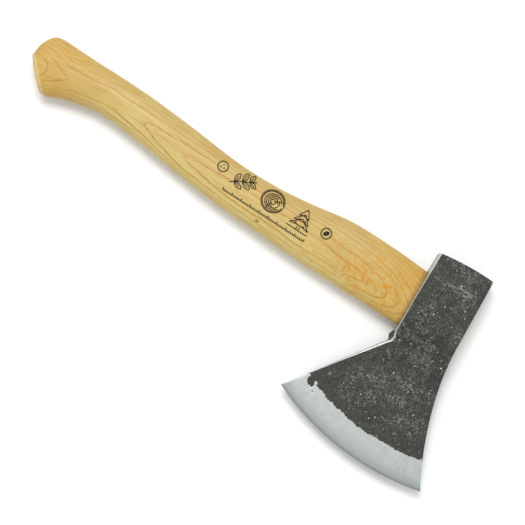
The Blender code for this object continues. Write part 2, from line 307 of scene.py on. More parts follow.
def build_light():
    data = bpy.data.lights.new("key_light", "AREA")
    data.shape = "DISK"
    data.size = KEY_SIZE
    data.energy = KEY_POWER
    light = add_to_scene("key_light", data)
    slant = radians(KEY_SLANT)
    towards = KEY_TOWARDS.normalized() * sin(slant) + Vector((0, 0, cos(slant)))
    light.location = Vector((*CAMERA_CENTER, 0.0)) + towards * KEY_DISTANCE
    light.rotation_euler = towards.to_track_quat("Z", "Y").to_euler()
    world = bpy.data.worlds.new("studio")
    world.use_nodes = True
    background = world.node_tree.nodes["Background"]
    background.inputs["Color"].default_value = (1.0, 1.0, 1.0, 1.0)
    background.inputs["Strength"].default_value = SKY_STRENGTH
    bpy.context.scene.world = world
    bpy.context.scene.view_settings.view_transform = "Standard"


def build_floor():
    bm = bmesh.new()
    bmesh.ops.create_grid(bm, x_segments=8, y_segments=8, size=FLOOR_SIZE / 2)
    floor = add_object("floor", bm)
    floor.location = (*CAMERA_CENTER, cad_bounds[0].z - FLOOR_DROP)
    shader = new_material(floor, "pale_floor")
    dress(shader, ramp(noise_value(object_place(shader), 90.0, 3.0), FLOOR_TONES), 0.9)
    shader.inputs["Specular IOR Level"].default_value = 0.1


# ---- mesh helpers

def add_object(name, bm):
    """Turn a bmesh into an object, with its faces pointing out when it is closed."""
    bmesh.ops.recalc_face_normals(bm, faces=bm.faces)
    mesh = bpy.data.meshes.new(name)
    bm.to_mesh(mesh)
    bm.free()
    return add_to_scene(name, mesh)


def bridge(bm, rings):
    """Join each ring of vertices to the next with quads."""
    for lower, upper in zip(rings, rings[1:]):
        for index, corner in enumerate(lower):
            following = (index + 1) % len(lower)
            bm.faces.new((corner, lower[following], upper[following], upper[index]))


def cap_rings(ring):
    """Rings that close the end of a loft towards the centre of its last ring."""
    center = sum(ring, Vector()) / len(ring)
    return [[center.lerp(point, 1 - step / CAP_RINGS) for point in ring]
            for step in range(1, CAP_RINGS)]


def loft(rings, capped=False):
    """Closed body through rings of points; capped ends get rings of faces of their own."""
    rings = [[Vector(point) for point in ring] for ring in rings]
    if capped:
        rings = cap_rings(rings[0])[::-1] + rings + cap_rings(rings[-1])
    bm = bmesh.new()
    loops = [[bm.verts.new(point) for point in ring] for ring in rings]
    bridge(bm, loops)
    bm.faces.new(loops[0])
    bm.faces.new(loops[-1])
    return bm


def cut(item, cutter, operation="DIFFERENCE"):
    """Apply a Boolean to an object's mesh."""
    modifier = item.modifiers.new("cut", "BOOLEAN")
    modifier.operation = operation
    modifier.solver = "EXACT"
    modifier.object = cutter
    evaluated = item.evaluated_get(bpy.context.evaluated_depsgraph_get())
    mesh = bpy.data.meshes.new_from_object(evaluated)
    item.modifiers.clear()
    item.data = mesh


def drop(*items):
    for item in items:
        bpy.data.objects.remove(item, do_unlink=True)


def smooth(item, degrees):
    item.data.shade_smooth()
    item.data.set_sharp_from_angle(angle=radians(degrees))


def points_of(item):
    points = np.zeros(len(item.data.vertices) * 3, np.float32)
    item.data.vertices.foreach_get("co", points)
    return points.reshape(-1, 3).astype(float)


def normals_of(item):
    return np.array([tuple(vertex.normal) for vertex in item.data.vertices])


def store(item, name, values):
    """Keep one number, or one vector, for each vertex, for a material to read."""
    values = np.asarray(values, np.float32)
    kind, key = ("FLOAT_VECTOR", "vector") if values.ndim == 2 else ("FLOAT", "value")
    attribute = item.data.attributes.new(name, kind, "POINT")
    attribute.data.foreach_set(key, values.ravel())


def finish_piece(item, node=None):
    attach(item, "root")
    if node:
        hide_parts(node)


def mix(low, high, share):
    return low + (high - low) * share


def ease(share):
    """Smooth step from 0 to 1."""
    share = np.clip(share, 0.0, 1.0)
    return share * share * (3 - 2 * share)


# ---- node helpers

def new_material(item, name):
    """Give an object a new material, and return its shader."""
    material = bpy.data.materials.new(name)
    material.use_nodes = True
    item.data.materials.clear()
    item.data.materials.append(material)
    return material.node_tree.nodes["Principled BSDF"]


def is_socket(value):
    return isinstance(value, bpy.types.NodeSocket)


def plug(socket, value):
    """Give a socket a value, or link it where the value is another node's output."""
    if is_socket(value):
        socket.id_data.links.new(value, socket)
    else:
        socket.default_value = value


def add_node(kind, inputs, **settings):
    """Make a node in the tree that its inputs come from."""
    tree = next(value.id_data for value in inputs.values() if is_socket(value))
    item = tree.nodes.new("ShaderNode" + kind)
    for key, value in settings.items():
        setattr(item, key, value)
    for key, value in inputs.items():
        plug(item.inputs[key], value)
    return item


def compute(operation, first, second=0.0, clamp=False):
    item = add_node("Math", {0: first, 1: second}, operation=operation)
    item.use_clamp = clamp
    return item.outputs[0]


def plus(first, second):
    return compute("ADD", first, second)


def times(first, second, clamp=False):
    return compute("MULTIPLY", first, second, clamp)


def sway(value, wave, amount):
    """Add a wave between 0 and 1 to a value, centred on 0 and scaled."""
    return plus(value, times(compute("SUBTRACT", wave, 0.5), amount))


def read_value(near, name, output="Fac"):
    """A number that the mesh stores for each vertex, or with output="Vector" a vector."""
    item = near.id_data.nodes.new("ShaderNodeAttribute")
    item.attribute_name = name
    return item.outputs[output]


def object_place(near):
    return near.id_data.nodes.new("ShaderNodeTexCoord").outputs["Object"]


def noise_value(vector, scale, detail=2.0, roughness=0.5, distortion=0.0):
    """Noise between 0 and 1; a scale of three numbers stretches it along the axes."""
    if isinstance(scale, tuple):
        vector = add_node("Mapping", {"Vector": vector, "Scale": scale}).outputs[0]
        scale = 1.0
    item = add_node("TexNoise", {
        "Vector": vector, "Scale": scale, "Detail": detail, "Roughness": roughness,
        "Distortion": distortion})
    return item.outputs["Fac"]


def spread(value, low, high, out_low=0.0, out_high=1.0):
    """Map low..high to out_low..out_high, smoothly and with the ends held."""
    item = add_node("MapRange", {
        "Value": value, "From Min": low, "From Max": high, "To Min": out_low, "To Max": out_high},
        interpolation_type="SMOOTHSTEP")
    return item.outputs["Result"]


def ramp(value, stops):
    item = add_node("ValToRGB", {"Fac": value})
    elements = item.color_ramp.elements
    while len(elements) < len(stops):
        elements.new(0.5)
    for element, (position, color) in zip(elements, stops):
        element.position = position
        element.color = (*color, 1.0)
    return item.outputs["Color"]


def blend(share, first, second):
    item = share.id_data.nodes.new("ShaderNodeMix")
    item.data_type = "RGBA"
    sockets = {socket.identifier: socket for socket in item.inputs}
    plug(sockets["Factor_Float"], share)
    for key, color in (("A_Color", first), ("B_Color", second)):
        plug(sockets[key], (*color, 1.0) if isinstance(color, tuple) else color)
    return next(socket for socket in item.outputs if socket.identifier == "Result_Color")


def layered(color, *layers):
    """Blend tones over a colour one after another, each given as (share, tone)."""
    for share, tone in layers:
        color = blend(share, color, tone)
    return color


def add_bump(shader, *layers):
    """Stack height fields, each given as (height, distance in metres), onto the shader's normal."""
    normal = None
    for height, distance in layers:
        item = add_node("Bump", {"Height": height, "Distance": distance})
        if normal:
            plug(item.inputs["Normal"], normal)
        normal = item.outputs["Normal"]
    plug(shader.inputs["Normal"], normal)


def dress(shader, color, roughness, metallic=0.0):
    plug(shader.inputs["Base Color"], color)
    plug(shader.inputs["Roughness"], roughness)
    plug(shader.inputs["Metallic"], metallic)


# ---- head

def blade_thickness(reach):
    """Thickness of the forged head at a distance from the eye centre towards the edge."""
    if reach < -CHEEK_START:
        share = (-reach - CHEEK_START) / (POLL_REACH - CHEEK_START)
        return mix(HEAD_THICKNESS, POLL_THICKNESS, share)
    if reach < CHEEK_END:
        return HEAD_THICKNESS
    fall = 1 / (1 + ((reach - CHEEK_END) / FALL_LENGTH) ** FALL_POWER)
    return mix(BLADE_THICKNESS, HEAD_THICKNESS, fall)


def flare_point(share):
    """Point on the concave top edge between the neck and the toe."""
    start = Vector((TOP + FLARE_LEAD, -NECK_REACH))
    return start * (1 - share) ** 2 + FLARE_PULL * 2 * share * (1 - share) + TOE * share ** 2


def beard_point(share):
    """Point on the straight beard between the neck and the heel."""
    return Vector((UNDERSIDE, -NECK_REACH)).lerp(HEEL, share)


def edge_drop(across):
    """How far the arc of the cutting edge lies beyond its chord, 0 at the heel to 1 at the toe."""
    half_chord = (TOE - HEEL).length / 2
    offset = (across * 2 - 1) * half_chord
    return np.sqrt(EDGE_RADIUS ** 2 - offset ** 2) - sqrt(EDGE_RADIUS ** 2 - half_chord ** 2)


BLADE_LENGTH = -(HEEL.y + TOE.y) / 2 + edge_drop(0.5) - NECK_REACH
GRIND = 1 - BEVEL_WIDTH / BLADE_LENGTH


def ground_half(share):
    """Half thickness that the bevel's grinding leaves, from the neck at 0 to the edge at 1."""
    start = blade_thickness(NECK_REACH + BLADE_LENGTH * GRIND) / 2
    along = (share - GRIND) / (1 - GRIND)
    crown = BEVEL_CROWN * 4 * max(along, 0.0) * (1 - along)
    return mix(start, EDGE_THICKNESS / 2, along) + crown


def forge_hollow(x, y, side):
    """Depth of the forged surface under its nominal face."""
    depth = 0.0
    for size, amount in FORGE_WAVES:
        wave = noise.noise(Vector((x / size, y / size, side * 7.3 + amount / MM)))
        depth += amount * min(max(0.5 + wave, 0.0), 1.0)
    return depth


def pit_depth(x, y):
    depth = 0.0
    for pit_x, pit_y, radius, amount in FORGE_PITS:
        distance = hypot(x - pit_x, y - pit_y) / radius
        wobble = 1 + 0.5 * noise.noise(Vector((x, y, 0.0)) / (0.6 * MM))
        depth += amount * exp(-(distance * wobble) ** 4)
    return depth


def head_stations():
    """From poll to edge: low end, high end, share of the blade, reach, distance from the poll."""
    stations = []
    steps = round((POLL_REACH + NECK_REACH - POLL_CORNER) / BLOCK_STEP)
    corner_steps = 6
    depths = [POLL_CORNER * (1 - cos(pi / 2 * step / corner_steps))
              for step in range(corner_steps)]
    depths += [mix(POLL_CORNER, POLL_REACH + NECK_REACH, step / steps) for step in range(steps)]
    for depth in depths:
        reach = depth - POLL_REACH
        low = TOP - mix(2 * TOP, POLL_HEIGHT, max(0.0, -reach / POLL_REACH))
        burr = POLL_BURR * (1 - float(ease(depth / POLL_BURR_DEPTH)))
        lead = FLARE_LEAD * ease((reach - FLARE_START) / (NECK_REACH - FLARE_START))
        gap = max(0.0, POLL_CORNER - depth)
        corner = POLL_CORNER - sqrt(POLL_CORNER ** 2 - gap ** 2)
        stations.append((Vector((low + corner, -reach)),
                         Vector((TOP + lead + burr - corner, -reach)), 0.0, reach, depth))
    for level in range(BLADE_LEVELS + 1):
        share = level / BLADE_LEVELS
        stations.append((beard_point(share), flare_point(share), share,
                         NECK_REACH + BLADE_LENGTH * share, POLL_REACH + NECK_REACH))
    return stations


def wall_points(end, inwards, faces, column, rim, nose, lean):
    """Points down a side wall, from the upper rim over the forged nose to the lower rim."""
    half_up, half_down = [abs(faces[side][column][0][2] - MID) for side in (1, -1)]
    rim_share = min(RIM_HEIGHT / min(half_up, half_down), 0.5)
    profile = []
    for degrees in (25, 50, 75):
        angle = radians(degrees)
        profile.append((1 - rim_share * (1 - cos(angle)), 1 - sin(angle)))
    profile += [(height * (1 - rim_share), 0.0) for height in (0.75, 0.4, 0.0, -0.4, -0.75)]
    profile += [(-height, inset) for height, inset in profile[:3][::-1]]
    points = []
    for height, inset in profile:
        spot = end + inwards * (mix(-nose, lean, abs(height)) + rim * inset)
        z = MID + height * (half_up if height > 0 else half_down)
        points.append((spot.x, spot.y, z))
    return points


def wall_sizes(share, reach, depth, half):
    """Chamfer and lean of the underside wall and of the top wall, and the lug's reach."""
    slim = min(1.0, half / (HEAD_THICKNESS / 2))
    lug = max(0.0, 1 - abs(reach - LUG_REACH) / LUG_HALF_LENGTH)
    beard = float(ease((reach - LUG_REACH) / LUG_HALF_LENGTH) * (1 - share) ** 1.5)
    under_rim = min(mix(UNDER_RIM, BEARD_RIM, beard) * sqrt(slim), half)
    under_lean = mix(UNDER_DRAFT, POLL_DRAFT, max(0.0, -reach / POLL_REACH)) * slim
    hammered = 1 - float(ease(depth / POLL_BURR_DEPTH))
    top_rim = min(TOP_RIM + POLL_CHAMFER * hammered, half)
    return under_rim, under_lean + lug * LUG_NOTCH, top_rim, TOP_DRAFT * slim, lug * LUG_PROUD


def head_ring(station):
    """One ring of the head, and for each of its points the numbers that its material reads."""
    low_end, high_end, share, reach, depth = station
    along = (high_end - low_end).normalized()
    across = Vector((along.y, -along.x))
    gap = max(0.0, POLL_ROUND - depth)
    nominal = blade_thickness(reach) / 2 - (POLL_ROUND - sqrt(POLL_ROUND ** 2 - gap ** 2))
    ground = ground_half(share) if share > 0 else 1.0
    half = min(nominal, ground)
    under_rim, under_lean, top_rim, top_lean, lug = wall_sizes(share, reach, depth, half)
    low_face = low_end + along * (under_rim + under_lean)
    high_face = high_end - along * (top_rim + top_lean)
    bow = POLL_BOW * (1 - float(ease(depth / POLL_BOW_DEPTH)))
    faces = {1: [], -1: []}
    for side, row in faces.items():
        for column in range(COLUMNS + 1):
            place = column / COLUMNS
            spot = low_face.lerp(high_face, place) + across * share * float(edge_drop(place))
            spot.y -= bow * (place * 2 - 1) ** 2
            forged = nominal - forge_hollow(spot.x, spot.y, side) - pit_depth(spot.x, spot.y)
            height = MID + side * min(forged, ground)
            row.append(((spot.x, spot.y, height), (forged - ground) / MM, place))
    bowed = Vector((0.0, bow))
    high = wall_points(high_end - bowed, -along, faces, -1, top_rim, 0.0, top_lean)
    low = wall_points(low_end - bowed, along, faces, 0, under_rim, lug, under_lean)
    upper, lower = [[point for point, _, _ in faces[side]] for side in (1, -1)]
    edge_gap = (1 - share) * BLADE_LENGTH / MM if share > 0 else 99.0
    return upper + high + lower[::-1] + low[::-1], ring_numbers(faces, edge_gap, len(high))


def ring_numbers(faces, edge_gap, wall_count):
    """For a ring's points: depth ground off, place along the edge, gap to the edge, and wall."""
    chord = (TOE - HEEL).length / MM
    numbers = []
    for face, place, wall in ((faces[1], 1.0, 1.0), (faces[-1][::-1], 0.0, -1.0)):
        numbers += [(removed, edge_gap, spot * chord, 0.0) for _, removed, spot in face]
        numbers += [(face[-1][1], edge_gap, place * chord, wall)] * wall_count
    return numbers


def fill_grid(bm, rows):
    for above, below in zip(rows, rows[1:]):
        for column in range(COLUMNS):
            bm.faces.new((above[column], above[column + 1], below[column + 1], below[column]))


def split_ring(ring):
    """A head ring's upper face, top wall, lower face and underside wall, in matching order."""
    rows = len(ring) // 2 - COLUMNS - 1
    upper, rest = ring[:COLUMNS + 1], ring[COLUMNS + 1:]
    high, rest = rest[:rows], rest[rows:]
    return upper, high, rest[:COLUMNS + 1][::-1], rest[COLUMNS + 1:][::-1]


def close_poll(bm, ring):
    """Fill the poll with a grid of faces, slightly crowned."""
    upper, high, lower, low = split_ring(ring)
    grid = [upper]
    for left, right in zip(low, high):
        inner = []
        for column in range(1, COLUMNS):
            spot = left.co.lerp(right.co, column / COLUMNS)
            height = (spot.z - MID) / (POLL_THICKNESS / 2)
            width = column / COLUMNS * 2 - 1
            spot.y += POLL_BOW * (1 - width ** 2)
            dent = 0.5 * POLL_CROWN * noise.noise(Vector((spot.x, spot.z, 3.1)) / (3 * MM))
            spot.y += POLL_CROWN * (1 - height ** 2) * (1 - width ** 4) - abs(dent)
            inner.append(bm.verts.new(spot))
        grid.append([left, *inner, right])
    fill_grid(bm, grid + [lower])


def close_edge(bm, ring):
    """Close the thin cutting edge, and the ends of the side walls at heel and toe."""
    upper, high, lower, low = split_ring(ring)
    fill_grid(bm, [upper, lower])
    bm.faces.new((upper[-1], *high, lower[-1]))
    bm.faces.new((lower[0], *low[::-1], upper[0]))


def build_head(eye_cutter):
    stations = head_stations()
    made = [head_ring(station) for station in stations]
    bm = bmesh.new()
    rings = [[bm.verts.new(point) for point in points] for points, _ in made]
    bridge(bm, rings)
    close_poll(bm, rings[0])
    close_edge(bm, rings[-1])
    head = add_object("forged_axe_head", bm)
    cut(head, eye_cutter)
    known = np.array([point for points, _ in made for point in points])
    numbers = np.array([row for _, rows in made for row in rows])
    tree = kdtree.KDTree(len(known))
    for index, point in enumerate(known):
        tree.insert(point, index)
    tree.balance()
    nearest = [tree.find(point)[1] for point in points_of(head)]
    removed, edge_gap, along_edge, wall = numbers[nearest].T
    points = points_of(head)
    store(head, "ground", removed)
    store(head, "edge", np.stack((along_edge, edge_gap, wall), axis=1))
    store(head, "bright", bright_share(head, wall))
    store(head, "calm", calm_share(points, removed))
    store(head, "haze", sum(part * patch_share(points, *patch) for *patch, part in HAZES))
    store(head, "scratched", patch_share(points, *SCRATCHED))
    smooth(head, 38)
    shade_head(head)
    finish_piece(head, "axe_head")


def bright_share(head, wall):
    """Where grinding left bare steel outside the bevel: underside, beard, top and corner."""
    x, y, z = points_of(head).T
    height = np.abs(z - MID)
    thickness = np.array([blade_thickness(-reach) for reach in y])
    chamfer = height > thickness / 2 - RIM_HEIGHT * 1.5
    share = np.where(wall < 0, np.where(chamfer, 1.0, 0.68), 0.0)
    share = np.where((wall > 0) & (y > -0.030), np.where(chamfer, 0.86, 0.72), share)
    burr = (x > TOP - POLL_CHAMFER) & (y > POLL_REACH - POLL_BURR_DEPTH * 0.8) & (wall > 0)
    share = np.where(burr, 1.0, share)
    lug = np.abs(-y - LUG_REACH) < LUG_HALF_LENGTH * 0.85
    share = np.where((wall < 0) & lug & ~chamfer, 0.12, share)
    in_eye = (wall == 0) & (np.abs(y) < EYE_LENGTH / 2 + 0.004) & (height < EYE_WIDTH / 2 + 0.0017)
    share = np.where(in_eye, 0.3, share)
    return np.where(normals_of(head)[:, 1] > 0.75, 0.0, share)


def patch_share(points, x, y, half_length, half_width):
    """1 in the middle of an oval patch of the cheeks, fading to 0 outside it."""
    distance = ((points[:, 0] - x) / half_length) ** 2 + ((points[:, 1] - y) / half_width) ** 2
    return np.exp(-distance)


def calm_share(points, removed):
    """1 along the beard and just behind the bevel, where the scale is smooth and dark."""
    start = np.array((UNDERSIDE, -NECK_REACH))
    beard = np.array(HEEL) - start
    normal = np.array((-beard[1], beard[0])) / np.hypot(*beard)
    from_beard = np.abs((points[:, :2] - start) @ normal)
    from_beard = np.where(points[:, 1] < -NECK_REACH, from_beard, 1.0)
    return np.maximum(1 - ease(from_beard / 0.006), 1 - ease(-removed / 0.9))


def scale_colour(place):
    """Forge scale: charcoal with fine mottling, pale hair-like strands and bright flecks."""
    calm = read_value(place, "calm")
    haze = read_value(place, "haze")
    tone = plus(times(noise_value(place, 1500.0, 2.0, 0.8), 0.80),
                times(noise_value(place, 260.0, 2.0, 0.5), 0.20))
    color = ramp(plus(tone, times(haze, 0.05)), SCALE_TONES)
    loose = plus(haze, spread(noise_value(place, 70.0), 0.4, 0.7))
    loose = times(loose, spread(calm, 0.0, 1.0, 1.0, 0.1), clamp=True)
    for seed, amount in ((0.0, 0.9), (0.31, 0.7)):
        shifted = add_node("Mapping", {
            "Vector": place, "Location": (seed, seed, seed)}).outputs[0]
        strands = compute("SUBTRACT", noise_value(shifted, 380.0, 3.0, 0.6, 1.6), 0.5)
        strands = spread(compute("ABSOLUTE", strands), 0.005, 0.026, 1.0, 0.0)
        broken = spread(noise_value(shifted, 520.0, 1.0), 0.50, 0.58)
        strength = times(times(times(strands, broken), loose), amount)
        color = blend(strength, color, SCALE_STRAND)
    return layered(color, (scratches_share(place), SCALE_SCRATCH),
                   (flecks(place, 260.0, 0.84, 0.20), BRIGHT_FLECK),
                   (flecks(place, 430.0, 0.86, 0.26), DULL_FLECK),
                   (times(calm, 0.6), CALM_SCALE))


def scratches_share(place):
    """Fine scratches along X beside the eye."""
    lines = noise_value(place, (170.0, 1100.0, 300.0), 2.0, 0.6, 0.4)
    return times(spread(lines, 0.56, 0.61), read_value(place, "scratched"))


def vector_math(operation, first, key, second):
    return add_node("VectorMath", {0: first, key: second}, operation=operation).outputs[0]


def flecks(place, scale, rarity, size):
    """Share of bright metal in small ragged flecks where the scale has chipped off."""
    shift = add_node("TexNoise", {"Vector": place, "Scale": 900.0}).outputs["Color"]
    shift = vector_math("SUBTRACT", shift, 1, (0.5, 0.5, 0.5))
    spot = vector_math("ADD", place, 1, vector_math("SCALE", shift, "Scale", FLECK_RAGGED))
    cells = add_node("TexVoronoi", {"Vector": spot, "Scale": scale})
    pick = add_node("SeparateColor", {"Color": cells.outputs["Color"]})
    rare = spread(pick.outputs[0], rarity, rarity + 0.03)
    return times(rare, spread(cells.outputs["Distance"], size * 0.55, size, 1.0, 0.0))


def steel_colour(near):
    """Ground steel: pale satin with fine scratches square to the edge, and a painted reflection
    that fades it darker towards the edge, where a thin dark line runs right along the edge.
    """
    edge = read_value(near, "edge", "Vector")
    gap = add_node("SeparateXYZ", {"Vector": edge}).outputs["Y"]
    scratches = noise_value(edge, (1.9, 0.16, 0.0), 4.0, 0.75)
    grit = noise_value(edge, (1.5, 1.1, 0.0), 2.0, 0.7)
    clouds = noise_value(edge, (0.16, 0.16, 0.0), 2.0)
    # Painted reflection: the steel's ramp runs darker towards the edge.
    tone = layered(ramp(spread(gap, 0.0, 14.0), STEEL_AND_PAINTED_REFLECTION_TONES),
                   (spread(scratches, 0.40, 0.65, 0.0, 0.34), (0.38, 0.41, 0.39)),
                   (spread(grit, 0.45, 0.70, 0.0, 0.22), (0.36, 0.40, 0.37)),
                   (spread(clouds, 0.4, 0.65, 0.0, 0.22), (0.43, 0.47, 0.44)),
                   (spread(gap, 0.2, 0.9, 0.75, 0.0), (0.16, 0.17, 0.16)))
    return tone, scratches


def shade_head(head):
    shader = new_material(head, "forged_steel")
    place = object_place(shader)
    ragged = noise_value(place, 1100.0, 3.0, 0.6)
    bevel = spread(sway(read_value(place, "ground"), ragged, 0.30), -0.008, 0.008)
    bright = read_value(place, "bright")
    bare = compute("MAXIMUM", bevel, spread(sway(bright, ragged, 0.5), 0.25, 0.75))
    steel, scratches = steel_colour(place)
    wall = ramp(noise_value(place, (900.0, 900.0, 60.0), 3.0, 0.6), WALL_TONES)
    wall = blend(spread(bright, 0.78, 0.95), wall, BRIGHT_CHAMFER)
    color = blend(bare, scale_colour(place), blend(bevel, wall, steel))
    rough = plus(spread(bare, 0.0, 1.0, 0.56, 0.33), times(noise_value(place, 300.0, 3.0), 0.14))
    dress(shader, color, rough, spread(bare, 0.0, 1.0, 0.35, 1.0))
    crust = times(noise_value(place, 900.0, 5.0, 0.65), compute("SUBTRACT", 1.0, bare))
    add_bump(shader, (crust, 0.00022), (times(scratches, bevel), 0.00002))


# ---- eye, wedge and ring

def eye_halves(x):
    """Half length and half width of the eye at a height in the head."""
    end, flare = (UNDERSIDE, EYE_FLARE_BELOW) if x < 0 else (TOP, EYE_FLARE_TOP)
    share = float(ease(x / end))
    return (EYE_LENGTH + flare[0] * share) / 2, (EYE_WIDTH + flare[1] * share) / 2


def oval(center, side, half_length, half_width):
    """Ring of points: an oval whose long axis lies along the unit vector side, in the XY plane."""
    points = []
    for index in range(OVAL_POINTS):
        angle = tau * index / OVAL_POINTS
        reach, rise = [copysign(abs(part) ** (2 / OVAL_POWER), part)
                       for part in (cos(angle), sin(angle))]
        spot = center + side * (reach * half_length)
        points.append((spot.x, spot.y, MID + rise * half_width))
    return points


def eye_rings(start, end, clearance, steps=24):
    """Rings of the eye's shape between two heights, smaller by the clearance."""
    rings = []
    for step in range(steps + 1):
        x = mix(start, end, step / steps)
        half_length, half_width = eye_halves(x)
        center = Vector((x, 0.0))
        rings.append(oval(center, Vector((0, 1)), half_length - clearance, half_width - clearance))
    return rings


def wedge_slab(name, clearance):
    """Tapered slab across the eye, thick at the top of the head, thin end inside the tongue."""
    tip = TOP - TONGUE_SUNK - WEDGE_DEPTH
    slope = (WEDGE_THICK_END - WEDGE_THIN_END) / 2 / WEDGE_DEPTH
    low_x = tip - clearance
    high_x = TOP - TONGUE_SUNK + OVERRUN
    low_half = WEDGE_THIN_END / 2 + clearance
    high_half = WEDGE_THICK_END / 2 + slope * OVERRUN + clearance
    half_span = (EYE_LENGTH + EYE_FLARE_TOP[0]) / 2 + OVERRUN
    rings = [[(low_x, y, MID - low_half), (high_x, y, MID - high_half),
              (high_x, y, MID + high_half), (low_x, y, MID + low_half)]
             for y in (-half_span, half_span)]
    return add_object(name, loft(rings))


def turned_ring(name, profile):
    """Body of revolution about the X axis of the eye, from (x, radius) points."""
    bm = bmesh.new()
    loops = []
    for index in range(TURNED_POINTS):
        angle = tau * index / TURNED_POINTS
        loops.append([bm.verts.new((x, radius * cos(angle), MID + radius * sin(angle)))
                      for x, radius in profile])
    bridge(bm, loops + [loops[0]])
    return add_object(name, bm)


def ring_profile(clearance, end, rounding=0.0):
    """Section of the ring wedge: slightly tapered outside, sharp leading edge inside."""
    tip = TOP - TONGUE_SUNK - RING_DEPTH - clearance
    outer = RING_DIAMETER / 2 + clearance
    lip = RING_DIAMETER / 2 - RING_TAPER - RING_WALL / 2 - clearance
    inner = RING_DIAMETER / 2 - RING_WALL - clearance
    leading = [(tip, outer - RING_TAPER), (tip, lip), (tip + RING_WALL, inner)]
    if rounding == 0.0:
        return [(end, outer), *leading, (end, inner)]
    turns = [radians(degrees) for degrees in (0, 30, 60, 90)]
    crown = [(rounding * (1 - cos(turn)), rounding * (1 - sin(turn))) for turn in turns]
    top_outer = [(end - rise, outer - inset) for inset, rise in crown]
    top_inner = [(end - rise, inner + inset) for inset, rise in crown]
    return top_outer + leading + top_inner[::-1]


def build_wedges(groove):
    wedge = wedge_slab("wooden_wedge_fine", 0.0)
    bounds = add_object("wedge_bounds", loft(eye_rings(
        TOP - WEDGE_DEPTH - OVERRUN, TOP - TONGUE_SUNK, FIT), capped=True))
    cut(wedge, bounds, "INTERSECT")
    cut(wedge, groove)
    drop(bounds)
    smooth(wedge, 30)
    shade_wedge(wedge)
    finish_piece(wedge, "wooden_wedge")
    ring = turned_ring("steel_ring", ring_profile(0.0, TOP - TONGUE_SUNK, RING_EDGE))
    smooth(ring, 40)
    shade_ring(ring)
    finish_piece(ring, "ring_wedge")


def shade_wedge(wedge):
    shader = new_material(wedge, "wedge_wood")
    place = object_place(shader)
    fibres = noise_value(place, (60.0, 1400.0, 1400.0), 4.0, 0.65)
    bands = noise_value(place, (20.0, 420.0, 90.0), 2.0)
    color = ramp(plus(times(fibres, 0.5), times(bands, 0.5)), WEDGE_TONES)
    dress(shader, color, spread(fibres, 0.2, 0.8, 0.5, 0.7))
    add_bump(shader, (fibres, 0.00015))


def shade_ring(ring):
    shader = new_material(ring, "bright_steel")
    place = object_place(shader)
    turned = noise_value(place, (2500.0, 120.0, 120.0), 3.0)
    dents = noise_value(place, 420.0, 3.0)
    dress(shader, ramp(dents, RING_TONES), spread(turned, 0.3, 0.7, 0.26, 0.46), 1.0)
    add_bump(shader, (turned, 0.00003), (dents, 0.00015))


# ---- handle

def curve_through(before, start, end, after, share):
    """Point on the Catmull-Rom curve between start and end."""
    square = share * share
    cube = square * share
    return (start * 2 + (end - before) * share
            + (before * 2 - start * 5 + end * 4 - after) * square
            + (start * 3 - before - end * 3 + after) * cube) / 2


def handle_stations():
    """Back point, belly point and half thickness of the handle, from the head to the butt."""
    half_length, half_width = eye_halves(UNDERSIDE)
    neck = [((x, half_length - FIT), (x, -half_length + FIT), half_width - FIT)
            for x in (UNDERSIDE, UNDERSIDE - 2 * FIT - RIM_HEIGHT)]
    grip = [((-share * HANDLE_REACH, back), (-share * HANDLE_REACH, belly),
             mix(GRIP_THICKNESS, SWELL_THICKNESS, swell) / 2)
            for share, back, belly, swell in HANDLE_STATIONS]
    butt_half = mix(GRIP_THICKNESS, SWELL_THICKNESS, BUTT_THICKNESS_SHARE) / 2
    butt = [((-back_share * HANDLE_REACH, back), (-belly_share * HANDLE_REACH, belly), butt_half)
            for (back_share, back), (belly_share, belly) in BUTT_STATIONS]
    return [(Vector((*back, 0.0)), Vector((*belly, 0.0)), half)
            for back, belly, half in neck + grip + butt]


def section(back, belly, half_width, inset):
    """Oval across the handle between its back and belly points."""
    across = back - belly
    return oval((back + belly) / 2, across.normalized(), across.length / 2 - inset,
                half_width - inset)


def handle_rings():
    stations = handle_stations()
    rings = []
    last = len(stations) - 1
    for index in range(1, last):
        spans = HANDLE_SPANS if index < len(HANDLE_STATIONS) + 2 else BUTT_SPANS
        neighbours = [stations[index - 1], stations[index], stations[index + 1],
                      stations[min(index + 2, last)]]
        for step in range(spans):
            sizes = [curve_through(*knots, step / spans) for knots in zip(*neighbours)]
            rings.append(section(*sizes, DRAWN_IN))
    back, belly, half_width = stations[last]
    side = (back - belly).normalized()
    outward = Vector((-side.y, side.x, 0.0))
    for degrees in range(0, 91, 15):
        angle = radians(degrees)
        shift = outward * (BUTT_ROUND - DRAWN_IN) * sin(angle)
        inset = BUTT_ROUND * (1 - cos(angle)) + DRAWN_IN
        rings.append(section(back + shift, belly + shift, half_width, inset))
    return rings


def knots_at(knots, x, blur=0.004):
    """Smooth curve through listed knots, as a running mean of straight runs."""
    places, values = np.array(knots).T
    offsets = np.linspace(-blur, blur, 9)
    return np.mean([np.interp(x + offset, places, values) for offset in offsets], axis=0)


def ring_count(points):
    """How many growth rings lie between the points and the layer that the upper face cuts."""
    x, y, z = points.T
    across = (y - knots_at(FIGURE_AXIS, x)) / FIGURE_WIDTH
    rings = knots_at(FIGURE_CROWN, x) - FIGURE_DROP * (np.sqrt(1 + across ** 2) - 1)
    return rings + (z - MID - SWELL_THICKNESS / 2) / RING_SPACING


